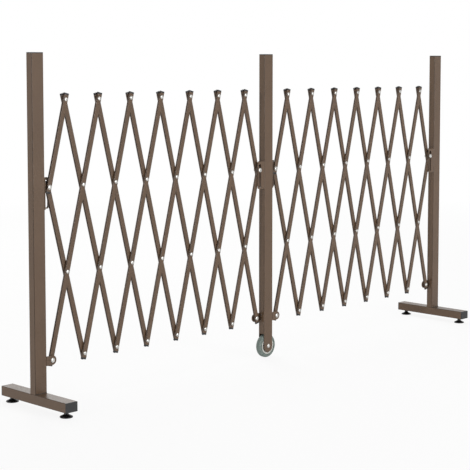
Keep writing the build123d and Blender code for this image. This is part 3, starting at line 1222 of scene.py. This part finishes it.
@dataclass
class LatticePanel:
    """One folding lattice between two posts."""

    name: str
    left_post_x: float
    pitches: int = 7
    end_gap: float = 21.8
    bottom_height: float = 139.5
    layer_gap: float = 0.4
    fittings: BarFittings = field(default_factory=BarFittings)

    @property
    def pitch(self) -> float:
        """From one pivot to the next in a row."""
        return (POST_SPACING - POST_WIDTH - 2 * self.end_gap) / self.pitches

    @property
    def lean(self) -> float:
        """How far the bars lean from upright, in radians."""
        return math.asin(self.pitch / 2 / PIVOT_SPAN)

    def spot(self, step: float, row: int) -> Span:
        """Where a pivot is, along the gate and up."""
        x = self.left_post_x + POST_WIDTH / 2 + self.end_gap + step * self.pitch
        return x, self.bottom_height + row * PIVOT_SPAN * math.cos(self.lean)

    def fasten(self, bar: LatticeBar, step: float, row: int) -> None:
        """Puts a bar's rivets, end bolts and bushes on it. A rear bar has an end bolt at most.

        Args:
            bar: the bar.
            step: where its lowest pivot is, in pitches.
            row: that pivot's row.
        """
        fit, last = self.fittings, self.pitches
        plate, play, middle = fit.plate_face, fit.side_play, self.layer_gap / 2
        for hole in range(bar.pivots if bar.layer is Layer.FRONT else 1):
            here, level = step + hole / 2, row + hole
            spot = x, z = self.spot(here, level)
            if bar.layer is Layer.REAR and (here, level) == (last, 0):
                bears, bush = (middle - play, plate + play), (Layer.REAR, False)
            elif bar.layer is Layer.REAR:
                continue
            elif (here, level) == (0, 0):
                bears, bush = (-plate - play, play - middle), (Layer.FRONT, False)
            elif here == 0:
                bears, bush = (-fit.bars_face, plate + play), (Layer.REAR, True)
            elif here == last:
                bears, bush = (-plate - play, fit.bars_face), (Layer.FRONT, True)
            else:
                bar.metalwork.append(fit.rivet().to(x, -fit.bars_face, z, Facing.FRONT))
                continue
            bar.metalwork.append(fit.bolt.through(spot, *bears))
            bar.bushes.append(fit.bush(spot, *bush))

    def build(self, bench: Bench) -> None:
        """Makes all the bars, each from its lowest pivot's step and row and its pivots."""
        last = float(self.pitches)
        whole = range(self.pitches - 1)
        layers = {
            Layer.FRONT: [(0.0, 2, 2), *((float(i), 0, 4) for i in whole), (last - 1, 0, 3)],
            Layer.REAR: [(1.0, 0, 3), *((float(i + 2), 0, 4) for i in whole), (last, 2, 2)],
        }
        for layer, bars in layers.items():
            y = layer.value * (self.layer_gap + BAR_DEPTH) / 2
            for number, (step, row, pivots) in enumerate(bars, 1):
                x, z = self.spot(step, row)
                node = f"{self.name}_{layer.name.lower()}_bar_{number}"
                bar = LatticeBar(node, Vector((x, y, z)), layer, self.lean, pivots)
                self.fasten(bar, step, row)
                bar.build(bench)


# The studio


@dataclass(frozen=True)
class StudioFloor(Finish):
    """A pale floor that shows white to the camera and keeps a soft shadow."""

    roughness: float = 0.9
    clouds: Cloud = Cloud(3.0)
    cloud_tone: float = 0.99
    glow_share: float = 0.88
    white_reach: Span = (2.2, 5.5)
    room_foot: Way = (-3.6, -3.6, 0.0)
    room_reach: Span = (1.6, 3.4)
    room_level: float = 0.1

    def surface(self, graph: Graph) -> Socket:
        """A matt floor, mixed with plain white for what the camera and the gloss see."""
        place = graph.place()
        far = graph.spread(graph.vector("LENGTH", place), self.white_reach)
        glow = self.glow_share + (1 - self.glow_share) * far
        room = 1 - graph.spread(graph.vector("DISTANCE", place, self.room_foot), self.room_reach)
        dim = toned(self.colour, self.cloud_tone)
        tone = graph.blend(graph.noise(self.clouds), dim, self.colour)
        matt = self.shader(graph, {"Base Color": tone, "Roughness": self.roughness})
        gloss, seen = graph.rays()
        shade = graph.blend(gloss * room, WHITE, toned(WHITE, self.room_level))
        light = graph.node("ShaderNodeEmission", {}, {"Color": shade, "Strength": 1.0})
        mix = graph.node("ShaderNodeMixShader", {}, {0: seen * glow, 1: matt, 2: light.outputs[0]})
        return mix.outputs[0]


@dataclass(frozen=True)
class Lamp:
    """A soft square lamp: its place and aim in metres, its side and its watts."""

    name: str
    place: Way
    aim: Way
    side: float
    watts: float

    def hang(self) -> None:
        """Hangs the lamp."""
        light = bpy.data.lights.new(self.name, "AREA")
        light.shape = "SQUARE"
        light.size = self.side
        light.energy = self.watts
        lamp = placed(self.name, light)
        lamp.location = self.place
        lamp.rotation_mode = "QUATERNION"
        look = Vector(self.aim) - Vector(self.place)
        lamp.rotation_quaternion = look.to_track_quat("-Z", "Y")


@dataclass
class Studio:
    """The floor, the air, the lamps and the camera."""

    floor_colour: Colour = (0.94, 0.94, 0.94)
    floor_half: float = 30.0
    floor_squares: int = 8
    air_level: float = 0.36
    room_way: Way = (-0.7071, -0.7071, 0.0)
    room_span: Span = (0.74, 0.9)
    room_level: float = 0.1
    lamps: tuple[Lamp, ...] = (
        Lamp("left_lamp", (-8.0, -0.8, 2.0), (0.0, 0.0, 0.5), 1.0, 145.0),
        Lamp("front_lamp", (0.2, -4.4, 1.0), (0.1, 0.0, 0.5), 1.6, 86.0),
        Lamp("top_lamp", (0.4, 0.5, 3.3), (0.0, 0.0, 0.4), 2.2, 23.0),
        Lamp("rear_lamp", (1.6, 3.4, 3.1), (0.0, 0.0, 0.5), 2.0, 68.0),
    )
    camera_place: Way = (-3.3096, -3.0553, 0.9973)
    camera_turn: Way = (85.5, 0.0, -45.955)
    camera_sensor: float = 36.0
    camera_lens: float = 101.881
    camera_shift: float = -0.1381

    def floor(self) -> None:
        """Lays the floor."""
        bench = bmesh.new()
        squares = self.floor_squares
        bmesh.ops.create_grid(bench, x_segments=squares, y_segments=squares, size=self.floor_half)
        data = bpy.data.meshes.new("studio_floor")
        bench.to_mesh(data)
        bench.free()
        data.materials.append(StudioFloor("studio_floor", self.floor_colour).material())
        floor = placed("studio_floor", data)

    def air(self) -> None:
        """Fills the air with soft light. The camera and the gloss see it white."""
        world = bpy.data.worlds.new("studio_air")
        world.use_nodes = True
        graph = Graph(world.node_tree)
        gloss, seen = graph.rays()
        toward = graph.vector("DOT_PRODUCT", graph.place(), self.room_way)
        room = graph.spread(toward, self.room_span)
        level = self.air_level + (1 - self.air_level) * seen
        level = level * (1 - gloss * room * (1 - self.room_level))
        light = graph.node("ShaderNodeBackground", {}, {"Color": (*WHITE, 1.0), "Strength": level})
        graph.node("ShaderNodeOutputWorld", {}, {"Surface": light.outputs[0]})
        bpy.context.scene.world = world

    def camera(self) -> None:
        """Sets the camera at the photograph's angle."""
        lens = bpy.data.cameras.new("camera")
        lens.sensor_width = self.camera_sensor
        lens.lens = self.camera_lens
        lens.shift_y = self.camera_shift
        camera = placed("camera", lens)
        camera.location = self.camera_place
        camera.rotation_euler = [math.radians(angle) for angle in self.camera_turn]
        bpy.context.scene.camera = camera

    def build(self) -> None:
        """Sets up the whole studio."""
        bpy.context.scene.view_settings.view_transform = "Standard"
        self.floor()
        self.air()
        for lamp in self.lamps:
            lamp.hang()
        self.camera()


def main() -> None:
    """Builds the gate and its studio, in order."""
    logging.basicConfig(level=logging.INFO, format="%(message)s")
    Studio().build()
    bench = Bench(FinishRack())
    EndStand("left", -POST_SPACING).build(bench)
    EndStand("right", POST_SPACING).build(bench)
    bench.rack.dress(Stuff.BROWN, "middle_post")
    bench.rack.dress(Stuff.BLACK, "middle_post_plug")
    CastorWheel().build(bench)
    PostBrackets("left", -POST_SPACING, {1: "left"}).build(bench)
    PostBrackets("middle", 0.0, {-1: "middle_left", 1: "middle_right"}).build(bench)
    PostBrackets("right", POST_SPACING, {-1: "right"}).build(bench)
    LatticePanel("left", -POST_SPACING).build(bench)
    LatticePanel("right", 0.0).build(bench)


if __name__ == "__main__":
    main()
